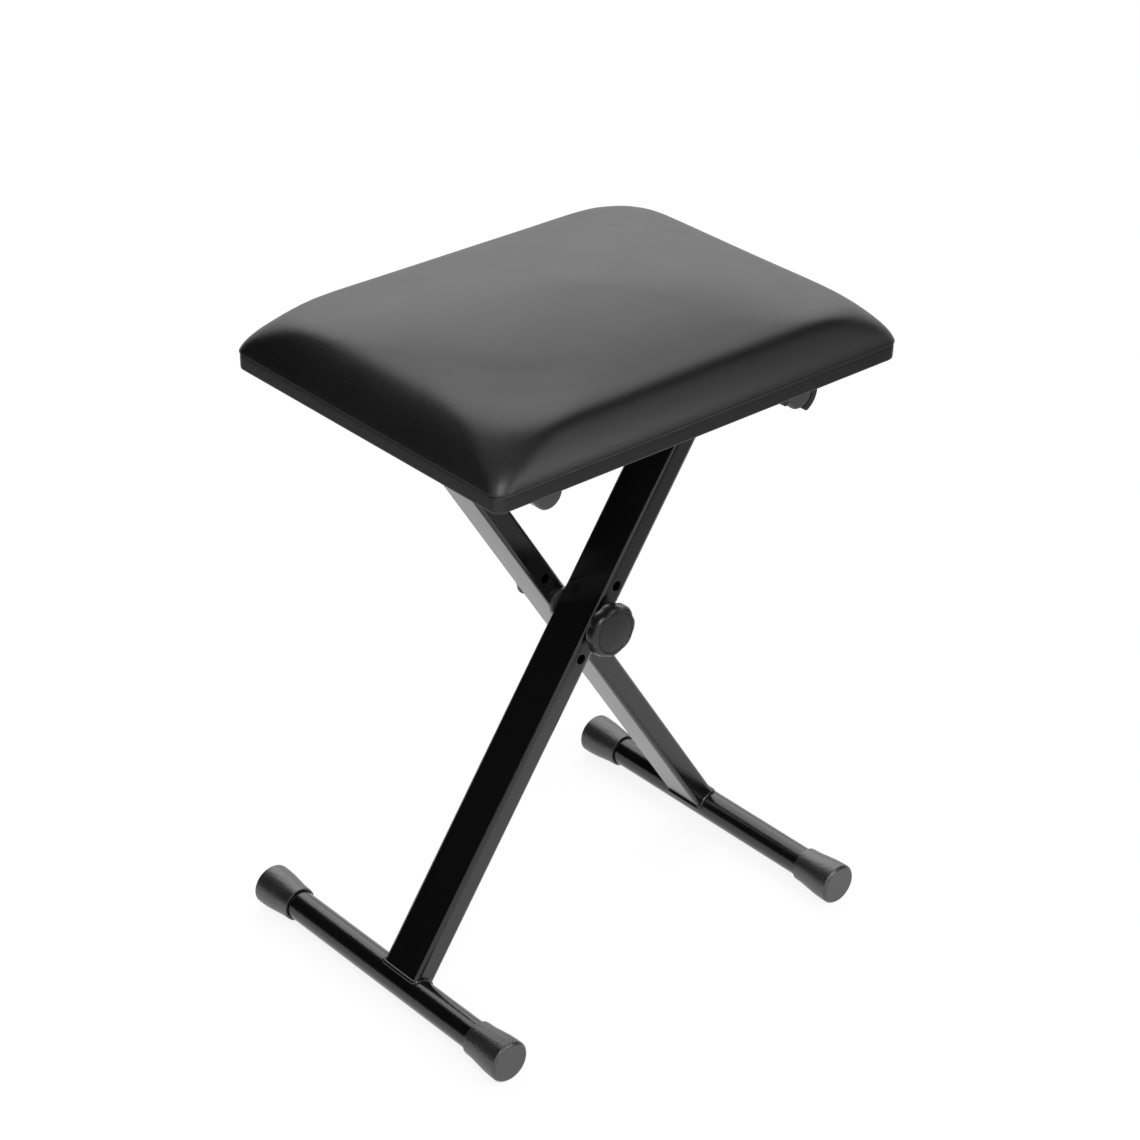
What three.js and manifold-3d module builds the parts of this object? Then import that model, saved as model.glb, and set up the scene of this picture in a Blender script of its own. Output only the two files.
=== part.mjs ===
// Folding keyboard bench: a crossed pair of steel tube legs under a padded vinyl seat.
// Millimetres, +Z up. X runs along the seat, Y along the foot bars, and the origin is on the floor under the centre.
import * as THREE from "three";
import { mergeVertices } from "three/addons/utils/BufferGeometryUtils.js";
import Module from "manifold-3d";

const wasm = await Module();
wasm.setup();

// Stance: where the pivot, the foot bars and the crossbars lie
const legBelowPivot = 327.7; // pivot to the foot bar's axis
const legAbovePivot = 228.5; // pivot to the crossbar's axis
const footOverall = 306.4; // from cap end to cap end
const crossbarInset = 33.5; // from the seat's widest line to the end of a crossbar
const seatOverhang = 75.15; // from a crossbar's axis to the end of the seat

// Clearances
const fitGap = 0.3; // between pieces that touch or slide
const overrun = 2; // how far a cutter passes what it cuts
const mergeDistance = 0.0001;

// Leg tube, rectangular
const legDepth = 20;
const legWidth = 40;
const legWall = 1.5;
const legCorner = 3;
const legGap = 4; // between the two legs, side by side
const holeSpacing = 32; // along the leg, from the pivot to each spare hole
const holeCount = 3;

// Round bars
const barRadius = 12.5;
const barWall = 1.5;
const roundSides = 32;

// Rubber foot cap, flared from its mouth to its end
const capRadius = 17.5;
const capLength = 40;
const capMouthWall = 1.8;
const capEndWall = 4;
const capEdge = 2;
const capLand = 5; // straight part of the rim, on which the bench stands
const capFlareSteps = 4;

// Plastic plug in each end of a crossbar
const plugHead = 3;
const plugDome = 1.2;
const plugShank = 12;
const plugWall = 2;
const plugSides = 24;

// Pivot bolt and washers
const boltRadius = 4;
const boltHeadAcross = 13;
const boltHeadDepth = 5.3;
const boltEnd = 16.5; // how far the bolt stands out of the front leg
const boltChamfer = 0.8;
const washerRadius = 11;
const washerDepth = 1.6;
const spacerRadius = 13;
const smallSides = 16;
const washerSides = 24;

// Clamp knob
const knobRadius = 22.5;
const knobNeckRadius = 12.5;
const knobFace = 19.5; // from the leg to the knob's front rim
const knobNeckDepth = 4.5;
const knobLobes = 8;
const knobLobeDepth = 1.5;
const knobLobeSteps = 8;
const knobCapRadius = 17;
const knobCapDepth = 2;
const knobCapDome = 0.9;
const knobInsertAcross = 13;
const knobInsertDepth = 7.4;
// Head outline: depth from its back, radius, and how much of the lobes shows, as shares of the full values
const knobHeadShares = [
  [0.02, 0.8, 0.3],
  [0.12, 0.945, 0.8],
  [0.28, 1, 1],
  [0.72, 1, 1],
  [0.9, 0.955, 0.9],
  [1, 0.88, 0.4],
];

// Seat
const seatLength = 403; // at the widest, where the padding swells past the board
const seatWidth = 305;
const sideDraw = 2; // how far the cover is drawn in from there to the board's edge
const seatCorner = 7;
const boardThickness = 12;
const coverThickness = 1.2;
const edgeRoll = 1.5; // height over which the cover rolls out from the board's edge to its widest line
const crownHeight = 53.6;
const crownLengthPower = 4.8;
const crownWidthPower = 3.4;
const crownShoulderPower = 2.3;
const crownRings = 9;
const sideSteps = 9;
const cornerSteps = 2;
const hemDepth = 22;
const hemEdge = 1.6; // rounding where the cover turns under
const hemEdgeShare = 0.3; // of that rounding, at its middle
const liningThickness = 0.6;
const liningInset = 11;
const liningStep = 4;

// Brackets under the board
const seatStandoff = 7.8; // board's underside to the top of a crossbar
const catchSetback = 16; // how much further in the catches stand than the hinge clips
const bracketWidth = 22;
const bracketFoot = 5.5; // thickness of the screwed feet
const bracketHalfLength = 33;
const bracketWall = 5.4;
const bracketFillet = 2.5; // where the wall meets the feet
const clipMouthFrom = THREE.MathUtils.degToRad(190); // the hinge clip's mouth, measured round the bar from +X
const clipMouthTo = THREE.MathUtils.degToRad(300);
const clipLipSteps = 4;
const catchLip = 9; // how far the catch's outer wall passes the bar's axis
const catchInnerEnd = 1; // how far above the bar's axis its inner wall ends
const catchInnerWall = 6.2;
const catchFlareShare = 0.75; // sideways run of the catch's mouth for each millimetre down
const bracketCurveSteps = 6;

// Wood screws
const screwOffset = 27; // from the bar's axis, along X
const screwRadius = 2;
const screwHeadRadius = 4;
const screwHeadDepth = 2.4;
const screwBite = 9.5; // into the board
const screwPoint = 3;
const screwSides = 12;

// Worked out from the sizes above. The catches set how far the legs spread, and so how far they lean.
const crossbarReach = seatLength / 2 - seatOverhang;
const legAngle = Math.asin(crossbarReach / legAbovePivot);
const pivotHeight = capRadius + legBelowPivot * Math.cos(legAngle);
const crossbarHeight = pivotHeight + legAbovePivot * Math.cos(legAngle);
const crossbarLength = seatWidth - 2 * crossbarInset;
const hingeSpread = crossbarLength + 2 * plugHead - bracketWidth; // clips flush with the plugs' faces
const catchSpread = hingeSpread - 2 * catchSetback;
const boardBottom = crossbarHeight + barRadius + seatStandoff;
const legCentre = (legGap + legWidth) / 2;
const legOuterFace = legGap / 2 + legWidth;
const holeRadius = boltRadius + fitGap;
const boreRadius = barRadius + fitGap;
const rimHeight = boardThickness + edgeRoll; // board's underside to where the crown starts
const liningDrop = 2 * fitGap + liningThickness; // board's underside to the brackets' top
const bracketTop = barRadius + seatStandoff - liningDrop; // above the bar's axis
const ringRadius = boreRadius + bracketWall;

const finishes = {
  powderCoat: { color: 0x0d0d0e, roughness: 0.32, metalness: 0.4 },
  vinyl: { color: 0x161617, roughness: 0.42, metalness: 0 },
  rubber: { color: 0x1a1a1b, roughness: 0.7, metalness: 0 },
  plastic: { color: 0x141415, roughness: 0.5, metalness: 0 },
  steel: { color: 0x9a9b9d, roughness: 0.35, metalness: 0.9 },
  plywood: { color: 0x9c7a52, roughness: 0.75, metalness: 0 },
  foam: { color: 0xd9d3b8, roughness: 0.95, metalness: 0 },
  lining: { color: 0x1c1c1d, roughness: 0.95, metalness: 0 },
};

// A closed geometry as a solid that can be cut and joined.
function toSolid(geometry) {
  const bare = new THREE.BufferGeometry();
  bare.setAttribute("position", geometry.getAttribute("position"));
  bare.setIndex(geometry.getIndex());
  const merged = mergeVertices(bare, mergeDistance);
  const corners = merged.getIndex().array;
  const kept = [];
  for (let i = 0; i < corners.length; i += 3) {
    const [a, b, c] = corners.slice(i, i + 3);
    if (a !== b && b !== c && c !== a) kept.push(a, b, c);
  }
  const mesh = new wasm.Mesh({
    numProp: 3,
    vertProperties: merged.getAttribute("position").array,
    triVerts: new Uint32Array(kept),
  });
  return new wasm.Manifold(mesh);
}

function toGeometry(solid) {
  const mesh = solid.getMesh();
  const geometry = new THREE.BufferGeometry();
  geometry.setAttribute("position", new THREE.BufferAttribute(new Float32Array(mesh.vertProperties), 3));
  geometry.setIndex(new THREE.BufferAttribute(new Uint32Array(mesh.triVerts), 1));
  geometry.computeVertexNormals();
  return geometry;
}

function cut(geometry, cutters) {
  const solid = cutters.reduce((left, cutter) => left.subtract(toSolid(cutter)), toSolid(geometry));
  return toGeometry(solid);
}

function join(first, second) {
  return toGeometry(toSolid(first).add(toSolid(second)));
}

// A mesh with its own material, placed in its group.
function piece(name, geometry, finish, place = [0, 0, 0]) {
  const mesh = new THREE.Mesh(geometry, new THREE.MeshStandardMaterial(finishes[finish]));
  mesh.name = name;
  mesh.position.set(...place);
  return mesh;
}

// Turned about Y from [radius, place along Y] pairs, with a flat of the polygon at each quarter turn.
function turned(profile, sides = roundSides) {
  const spread = 1 / Math.cos(Math.PI / sides);
  const points = profile.map(([radius, along]) => new THREE.Vector2(radius * spread, along));
  return new THREE.LatheGeometry(points, sides, Math.PI / sides, 2 * Math.PI);
}

function rod(radius, length, sides = roundSides) {
  const half = length / 2;
  return turned([[0, -half], [radius, -half], [radius, half], [0, half]], sides);
}

function pipe(outer, inner, length, sides = roundSides) {
  const half = length / 2;
  return turned([[inner, -half], [outer, -half], [outer, half], [inner, half], [inner, -half]], sides);
}

function hexPrism(across, depth) {
  const geometry = new THREE.CylinderGeometry(across / Math.sqrt(3), across / Math.sqrt(3), depth, 6);
  return geometry;
}

// Corners of a rounded rectangle, counter-clockwise from +X, with the same count whatever its size.
function roundedOutline(halfLength, halfWidth, corner) {
  const points = [];
  const middles = [[1, 1], [-1, 1], [-1, -1], [1, -1]];
  middles.forEach(([signX, signY], quarter) => {
    const centre = new THREE.Vector2(signX * (halfLength - corner), signY * (halfWidth - corner));
    for (let step = 0; step <= cornerSteps; step++) {
      const angle = (quarter + step / cornerSteps) * (Math.PI / 2);
      const reach = new THREE.Vector2(Math.cos(angle), Math.sin(angle)).multiplyScalar(corner);
      points.push(centre.clone().add(reach));
    }
    const [nextX, nextY] = middles[(quarter + 1) % middles.length];
    const last = points[points.length - 1];
    const turn = (quarter + 1) * (Math.PI / 2);
    const next = new THREE.Vector2(
      nextX * (halfLength - corner) + Math.cos(turn) * corner,
      nextY * (halfWidth - corner) + Math.sin(turn) * corner,
    );
    for (let step = 1; step < sideSteps; step++) points.push(last.clone().lerp(next, step / sideSteps));
  });
  return points;
}

// Index of a skin over rings of equal count, listed from the lowest to the tip.
function skinIndex(ringTotal, count) {
  const index = [];
  for (let ring = 0; ring + 1 < ringTotal; ring++) {
    for (let i = 0; i < count; i++) {
      const a = ring * count + i;
      const b = ring * count + ((i + 1) % count);
      index.push(a, b, b + count, a, b + count, a + count);
    }
  }
  return index;
}

function fanIndex(start, count, tip) {
  const index = [];
  for (let i = 0; i < count; i++) index.push(start + i, start + ((i + 1) % count), tip);
  return index;
}

function meshOf(points, index) {
  const geometry = new THREE.BufferGeometry();
  geometry.setAttribute("position", new THREE.Float32BufferAttribute(points.flatMap((p) => p.toArray()), 3));
  geometry.setIndex(index);
  geometry.computeVertexNormals();
  return geometry;
}

// Closed body over rings, with a fan to the middle at each end.
function ringBody(rings, lowTip, highTip) {
  const count = rings[0].length;
  const points = [...rings.flat(), lowTip, highTip];
  const low = rings.length * count;
  const last = (rings.length - 1) * count;
  const bottom = fanIndex(0, count, low);
  for (let i = 0; i < bottom.length; i += 3) [bottom[i], bottom[i + 1]] = [bottom[i + 1], bottom[i]];
  return meshOf(points, [...skinIndex(rings.length, count), ...bottom, ...fanIndex(last, count, low + 1)]);
}

// Rings and tip moved inwards along the sheet's own normals.
function insetSheet(rings, tip, depth) {
  const count = rings[0].length;
  const last = (rings.length - 1) * count;
  const index = [...skinIndex(rings.length, count), ...fanIndex(last, count, rings.length * count)];
  const sheet = meshOf([...rings.flat(), tip], index);
  const normals = sheet.getAttribute("normal");
  const moved = [...rings.flat(), tip].map((point, i) => {
    const normal = new THREE.Vector3().fromBufferAttribute(normals, i);
    return point.clone().addScaledVector(normal, -depth);
  });
  return { index, points: moved };
}

// A sheet with its second face given, closed along its open edge.
function thickSheet(rings, tip, inner) {
  const count = rings[0].length;
  const total = rings.length * count + 1;
  const index = [...inner.index];
  for (let i = 0; i < inner.index.length; i += 3) {
    const [a, b, c] = inner.index.slice(i, i + 3);
    index.push(total + a, total + c, total + b);
  }
  for (let i = 0; i < count; i++) {
    const next = (i + 1) % count;
    index.push(next, i, total + i, next, total + i, total + next);
  }
  return meshOf([...rings.flat(), tip, ...inner.points], index);
}

function atHeight(outline, height) {
  return outline.map((point) => new THREE.Vector3(point.x, point.y, height));
}

// Upright holes at each screw, from below the board upwards.
function screwHoles(radius, low, high) {
  return screwPlaces().map(([x, y]) => {
    const hole = rod(radius, high - low, screwSides);
    hole.rotateX(Math.PI / 2);
    hole.translate(x, y, (low + high) / 2);
    return hole;
  });
}

function screwPlaces() {
  const places = [];
  for (const [barSide, spread] of [[-1, catchSpread], [1, hingeSpread]]) {
    for (const bracketSide of [-1, 1]) {
      for (const screwSide of [-1, 1]) {
        const x = barSide * crossbarReach + screwSide * screwOffset;
        places.push([x, (bracketSide * spread) / 2]);
      }
    }
  }
  return places;
}

// Leg: rectangular tube, coped round the bars at both ends, with a row of bolt holes.
function legTube() {
  const outer = new THREE.Shape(tubeSection(legDepth, legWidth, legCorner));
  outer.holes.push(new THREE.Path(tubeSection(legDepth - 2 * legWall, legWidth - 2 * legWall, legCorner - legWall)));
  const tube = new THREE.ExtrudeGeometry(outer, { depth: legBelowPivot + legAbovePivot, bevelEnabled: false });
  tube.translate(0, 0, -legBelowPivot);
  const cutters = [legAbovePivot, -legBelowPivot].flatMap((end) => {
    const cope = rod(boreRadius, legWidth + 2 * overrun);
    cope.translate(0, 0, end);
    const beyond = new THREE.BoxGeometry(legDepth + 2 * overrun, legWidth + 2 * overrun, barRadius);
    beyond.translate(0, 0, end + (Math.sign(end) * barRadius) / 2);
    return [cope, beyond];
  });
  for (let i = 0; i < holeCount; i++) {
    const hole = rod(holeRadius, legWidth + 2 * overrun, smallSides);
    hole.translate(0, 0, (i - (holeCount - 1) / 2) * holeSpacing);
    cutters.push(hole);
  }
  return cut(tube, cutters);
}

function tubeSection(depth, width, corner) {
  const points = [];
  [[1, 1], [-1, 1], [-1, -1], [1, -1]].forEach(([signX, signY], quarter) => {
    for (let step = 0; step <= cornerSteps; step++) {
      const angle = (quarter + step / cornerSteps) * (Math.PI / 2);
      const x = signX * (depth / 2 - corner) + Math.cos(angle) * corner;
      const y = signY * (width / 2 - corner) + Math.sin(angle) * corner;
      points.push(new THREE.Vector2(x, y));
    }
  });
  return points;
}

// Foot cap, from its flat end at zero back to its mouth, opening towards -Y.
function footCap() {
  const mouth = boreRadius + capMouthWall;
  const flareEnd = -(capEdge + capLand);
  const profile = [[0, 0], [capRadius - capEdge, 0], [capRadius, -capEdge], [capRadius, flareEnd]];
  for (let step = 1; step <= capFlareSteps; step++) {
    const share = step / capFlareSteps;
    const fall = (1 - Math.cos(share * Math.PI)) / 2;
    profile.push([capRadius + (mouth - capRadius) * fall, flareEnd - (capLength + flareEnd) * share]);
  }
  profile.push([boreRadius, -capLength], [boreRadius, -capEndWall], [0, -capEndWall]);
  return turned(profile.reverse());
}

// Plug, with its domed head's underside at zero and its hollow shank towards -Y.
function crossbarPlug() {
  const shank = barRadius - barWall - fitGap;
  const profile = [
    [0, -plugWall],
    [shank - plugWall, -plugWall],
    [shank - plugWall, -plugShank],
    [shank, -plugShank],
    [shank, fitGap],
    [barRadius, fitGap],
    [barRadius, plugHead - plugDome],
    [barRadius - plugDome, plugHead],
    [0, plugHead + plugDome / 2],
  ];
  return turned(profile, plugSides);
}

function frameSide(prefix, side) {
  const lean = -side * legAngle;
  const frame = new THREE.Group();
  frame.position.z = pivotHeight;
  frame.rotation.y = lean;
  frame.add(piece(`${prefix}_leg_tube`, legTube(), "powderCoat", [0, side * legCentre, 0]));

  const top = new THREE.Group();
  top.position.z = legAbovePivot;
  top.rotation.y = -lean;
  top.add(piece(`${prefix}_crossbar`, pipe(barRadius, barRadius - barWall, crossbarLength), "powderCoat"));
  frame.add(top);

  const foot = new THREE.Group();
  foot.position.z = -legBelowPivot;
  foot.rotation.y = -lean;
  const barLength = footOverall - 2 * (capEndWall + fitGap);
  foot.add(piece(`${prefix}_foot_bar`, pipe(barRadius, barRadius - barWall, barLength), "powderCoat"));
  frame.add(foot);

  for (const [end, direction] of [["left", 1], ["right", -1]]) {
    const plug = piece(`${prefix}_crossbar_plug_${end}`, crossbarPlug(), "plastic");
    plug.position.y = (direction * crossbarLength) / 2;
    const cap = piece(`${prefix}_foot_cap_${end}`, footCap(), "rubber");
    cap.position.y = (direction * footOverall) / 2;
    for (const part of [plug, cap]) if (direction < 0) part.rotation.x = Math.PI;
    top.add(plug);
    foot.add(cap);
  }
  return frame;
}

// Hex bolt along Y, its head behind the rear leg and its end inside the knob.
function pivotBolt() {
  const seat = legOuterFace + washerDepth + 2 * fitGap;
  const end = -(legOuterFace + boltEnd);
  const shaft = turned([
    [0, end],
    [boltRadius - boltChamfer, end],
    [boltRadius, end + boltChamfer],
    [boltRadius, seat + overrun],
    [0, seat + overrun],
  ], smallSides);
  const head = hexPrism(boltHeadAcross, boltHeadDepth);
  head.translate(0, seat + boltHeadDepth / 2, 0);
  return join(shaft, head);
}

// Knob body along +Y from the leg's face: neck, lobed head, nut pocket and a recess for the cap.
function knobBody() {
  const back = washerDepth + 2 * fitGap;
  const headBack = back + knobNeckDepth;
  const headDepth = knobFace - headBack;
  const stations = [[back, knobNeckRadius, 0], [headBack, knobNeckRadius, 0]];
  for (const [depthShare, radiusShare, lobeShare] of knobHeadShares) {
    stations.push([headBack + headDepth * depthShare, knobRadius * radiusShare, lobeShare]);
  }
  const steps = knobLobes * knobLobeSteps;
  const rings = stations.map(([along, radius, lobeShare]) =>
    Array.from({ length: steps }, (_, i) => {
      const angle = (-i / steps) * 2 * Math.PI;
      const scallop = (1 - Math.abs(Math.cos((angle * knobLobes) / 2))) * knobLobeDepth * lobeShare;
      return new THREE.Vector3(Math.cos(angle) * (radius - scallop), along, Math.sin(angle) * (radius - scallop));
    }),
  );
  const body = ringBody(rings, new THREE.Vector3(0, back, 0), new THREE.Vector3(0, knobFace, 0));
  const recess = rod(knobCapRadius + fitGap, 2 * knobCapDepth);
  recess.translate(0, knobFace, 0);
  const pocket = hexPrism(knobInsertAcross + 2 * fitGap, knobInsertDepth + 2 * fitGap + overrun);
  const pocketFloor = knobFace - knobCapDepth - knobInsertDepth - 2 * fitGap;
  pocket.translate(0, pocketFloor + (knobInsertDepth + 2 * fitGap + overrun) / 2, 0);
  const bore = rod(holeRadius, pocketFloor + overrun, smallSides);
  bore.translate(0, (pocketFloor + overrun) / 2, 0);
  return cut(body, [recess, pocket, bore]);
}

function knobCap() {
  const back = knobFace - knobCapDepth + fitGap;
  return turned([[0, back], [knobCapRadius, back], [knobCapRadius, knobFace], [0, knobFace + knobCapDome]]);
}

// Hex nut moulded into the knob.
function knobInsert() {
  const middle = knobFace - knobCapDepth - fitGap - knobInsertDepth / 2;
  const nut = cut(hexPrism(knobInsertAcross, knobInsertDepth), [
    rod(holeRadius, knobInsertDepth + 2 * overrun, smallSides),
  ]);
  nut.translate(0, middle, 0);
  return nut;
}

function pivotSet() {
  const pivot = new THREE.Group();
  pivot.position.z = pivotHeight;
  const washer = () => pipe(washerRadius, holeRadius, washerDepth, washerSides);
  const washerPlace = legOuterFace + fitGap + washerDepth / 2;
  pivot.add(piece("pivot_bolt", pivotBolt(), "steel"));
  pivot.add(piece("bolt_washer", washer(), "steel", [0, washerPlace, 0]));
  pivot.add(piece("leg_spacer", pipe(spacerRadius, holeRadius, legGap - 2 * fitGap, washerSides), "plastic"));
  const knob = new THREE.Group();
  knob.position.y = -legOuterFace;
  knob.rotation.x = Math.PI;
  knob.add(piece("knob_washer", washer(), "steel", [0, fitGap + washerDepth / 2, 0]));
  knob.add(piece("knob_body", knobBody(), "plastic"));
  knob.add(piece("knob_cap", knobCap(), "plastic"));
  knob.add(piece("knob_insert", knobInsert(), "steel"));
  pivot.add(knob);
  return pivot;
}

// The cover's outer face above the board, as rings from the rim to just short of the middle.
function crownSheet() {
  const halfLength = seatLength / 2;
  const halfWidth = seatWidth / 2;
  const outline = roundedOutline(halfLength, halfWidth, seatCorner);
  const cornerCut = seatCorner * (1 - Math.SQRT1_2);
  const fall = (share, power) => (1 - share ** power) ** (1 / crownShoulderPower);
  const height = (point, scale) => {
    const alongX = Math.min(1, Math.abs(point.x) / (halfLength - cornerCut)) * scale;
    const alongY = Math.min(1, Math.abs(point.y) / (halfWidth - cornerCut)) * scale;
    return rimHeight + crownHeight * fall(alongX, crownLengthPower) * fall(alongY, crownWidthPower);
  };
  const rings = [];
  for (let ring = 0; ring < crownRings; ring++) {
    const scale = Math.cos((ring / crownRings) * (Math.PI / 2));
    rings.push(outline.map((p) => new THREE.Vector3(p.x * scale, p.y * scale, height(p, scale))));
  }
  return { rings, tip: new THREE.Vector3(0, 0, rimHeight + crownHeight) };
}

// Outline of the seat at its board, moved inwards.
function insetOutline(inset, corner) {
  const drawn = sideDraw + inset;
  return roundedOutline(seatLength / 2 - drawn, seatWidth / 2 - drawn, corner);
}

// The cover's outer face, as rings from its hem's edge under the board, up the board's edge and over the crown.
function coverSheet() {
  const under = -(fitGap + coverThickness);
  const crown = crownSheet();
  const side = [
    atHeight(insetOutline(hemDepth, seatCorner), under),
    atHeight(insetOutline(hemEdge, seatCorner - hemEdge), under),
    atHeight(insetOutline(hemEdge * hemEdgeShare, seatCorner), under + hemEdge * hemEdgeShare),
    atHeight(insetOutline(0, seatCorner), under + hemEdge),
    atHeight(insetOutline(0, seatCorner), boardThickness),
  ];
  return { rings: [...side, ...crown.rings], tip: crown.tip, sideRings: side.length };
}

// Vinyl cover, of one thickness throughout.
function seatCover() {
  const { rings, tip } = coverSheet();
  return thickSheet(rings, tip, insetSheet(rings, tip, coverThickness));
}

// Foam block: fills the cover down to the board.
function seatFoam() {
  const inset = coverThickness + fitGap;
  const floor = boardThickness + fitGap;
  const { rings, tip, sideRings } = coverSheet();
  const count = rings[0].length;
  const inner = insetSheet(rings, tip, inset).points;
  const body = [atHeight(insetOutline(inset + fitGap, seatCorner - inset), floor)];
  for (let ring = sideRings - 1; ring < rings.length; ring++) {
    body.push(inner.slice(ring * count, (ring + 1) * count));
  }
  return ringBody(body, new THREE.Vector3(0, 0, floor), inner[inner.length - 1]);
}

function seatBoard() {
  const inset = coverThickness + fitGap;
  const outline = insetOutline(inset, seatCorner - inset);
  const board = ringBody(
    [atHeight(outline, 0), atHeight(outline, boardThickness)],
    new THREE.Vector3(0, 0, 0),
    new THREE.Vector3(0, 0, boardThickness),
  );
  return cut(board, screwHoles(screwRadius + fitGap, -overrun, screwBite + fitGap));
}

// Lining under the board: laps the cover's hem, then steps up to the board.
function underLining() {
  const low = -(fitGap + coverThickness + fitGap + liningThickness);
  const high = -(fitGap + liningThickness);
  const rings = [
    atHeight(insetOutline(liningInset, seatCorner), low),
    atHeight(insetOutline(hemDepth + fitGap, seatCorner), low),
    atHeight(insetOutline(hemDepth + liningStep, seatCorner), high),
  ].map((ring) => [...ring].reverse());
  const tip = new THREE.Vector3(0, 0, high);
  const count = rings[0].length;
  const index = [...skinIndex(rings.length, count), ...fanIndex((rings.length - 1) * count, count, rings.length * count)];
  const lift = new THREE.Vector3(0, 0, liningThickness);
  const points = [...rings.flat(), tip].map((point) => point.clone().add(lift));
  const sheet = thickSheet(rings, tip, { index, points });
  return cut(sheet, screwHoles(screwRadius + fitGap, low - overrun, high + liningThickness + overrun));
}

// Points of an arc about the bar's axis, from one angle to another.
function arcPoints(radius, from, to) {
  const points = [];
  const steps = Math.ceil((Math.abs(to - from) * roundSides) / (2 * Math.PI));
  for (let step = 0; step <= steps; step++) {
    const angle = from + ((to - from) * step) / steps;
    points.push(new THREE.Vector2(Math.cos(angle) * radius, Math.sin(angle) * radius));
  }
  return points;
}

// Round end of the clip's wall: from its outer face to its inner one, or back, bulging into the mouth.
function lipPoints(angle, inwards, turn) {
  const half = bracketWall / 2;
  const out = new THREE.Vector2(Math.cos(angle), Math.sin(angle));
  const along = new THREE.Vector2(-out.y, out.x).multiplyScalar(turn);
  const points = [];
  for (let step = 1; step < clipLipSteps; step++) {
    const swing = (step / clipLipSteps) * Math.PI;
    const radial = Math.cos(swing) * (inwards ? 1 : -1);
    const point = out.clone().multiplyScalar(boreRadius + half + half * radial);
    points.push(point.addScaledVector(along, Math.sin(swing) * half));
  }
  return points;
}

// From a foot's inner corner down to a wall's outer face, in one sweep.
function shoulderPoints(side, wallFace, low) {
  const foot = bracketTop - bracketFoot;
  const curve = new THREE.QuadraticBezierCurve(
    new THREE.Vector2(side * (wallFace + bracketFillet), foot),
    new THREE.Vector2(side * wallFace, foot),
    new THREE.Vector2(side * wallFace, low),
  );
  return curve.getPoints(bracketCurveSteps);
}

// A profile in X and Z, given in X and Y, extruded across the bracket and bored for its screws.
function bracketBody(outline) {
  const body = new THREE.ExtrudeGeometry(new THREE.Shape(outline), { depth: bracketWidth, bevelEnabled: false });
  body.translate(0, 0, -bracketWidth / 2);
  body.rotateX(Math.PI / 2);
  const holes = [-1, 1].map((side) => {
    const drill = rod(screwRadius + fitGap, bracketFoot + 2 * overrun, screwSides);
    drill.rotateX(Math.PI / 2);
    drill.translate(side * screwOffset, 0, bracketTop - bracketFoot / 2);
    return drill;
  });
  return cut(body, holes);
}

// Hinge clip: it wraps most of the way round the front crossbar, which turns in it, with its mouth below.
function hingeBracket() {
  const foot = bracketTop - bracketFoot;
  const outline = [
    new THREE.Vector2(bracketHalfLength, foot),
    new THREE.Vector2(bracketHalfLength, bracketTop),
    new THREE.Vector2(-bracketHalfLength, bracketTop),
    new THREE.Vector2(-bracketHalfLength, foot),
    ...shoulderPoints(-1, ringRadius, 0),
    ...arcPoints(ringRadius, Math.PI, clipMouthFrom).slice(1),
    ...lipPoints(clipMouthFrom, true, 1),
    ...arcPoints(boreRadius, clipMouthFrom, clipMouthTo - 2 * Math.PI),
    ...lipPoints(clipMouthTo, false, -1),
    ...arcPoints(ringRadius, clipMouthTo, 2 * Math.PI).slice(0, -1),
    ...shoulderPoints(1, ringRadius, 0).reverse(),
  ];
  return bracketBody(outline);
}

// Catch: open below, it drops over the rear crossbar, and its outer wall holds the bar in.
function catchBracket() {
  const foot = bracketTop - bracketFoot;
  const flare = Math.atan(catchFlareShare);
  const mouth = boreRadius / Math.cos(flare) - catchInnerEnd * catchFlareShare;
  const innerFace = boreRadius + catchInnerWall;
  const outline = [
    new THREE.Vector2(bracketHalfLength, foot),
    new THREE.Vector2(bracketHalfLength, bracketTop),
    new THREE.Vector2(-bracketHalfLength, bracketTop),
    new THREE.Vector2(-bracketHalfLength, foot),
    ...shoulderPoints(-1, ringRadius, 0),
    new THREE.Vector2(-ringRadius, -catchLip),
    new THREE.Vector2(-ringRadius + bracketWall / 2, -catchLip - bracketWall / 2),
    new THREE.Vector2(-boreRadius, -catchLip),
    ...arcPoints(boreRadius, Math.PI, flare),
    new THREE.Vector2(mouth, catchInnerEnd),
    new THREE.Vector2((mouth + innerFace) / 2, 0),
    ...shoulderPoints(1, innerFace, 2 * catchInnerEnd).reverse(),
  ];
  return bracketBody(outline);
}

// Pan-head wood screw, pointing up, with its head's seat at zero.
function woodScrew() {
  const reach = fitGap + bracketFoot + liningDrop + screwBite;
  const screw = turned([
    [0, -screwHeadDepth],
    [screwHeadRadius / 2, -screwHeadDepth],
    [screwHeadRadius, -screwHeadDepth / 2],
    [screwHeadRadius, 0],
    [screwRadius, 0],
    [screwRadius, reach - screwPoint],
    [0, reach],
  ], screwSides);
  return screw.rotateX(Math.PI / 2);
}

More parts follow.
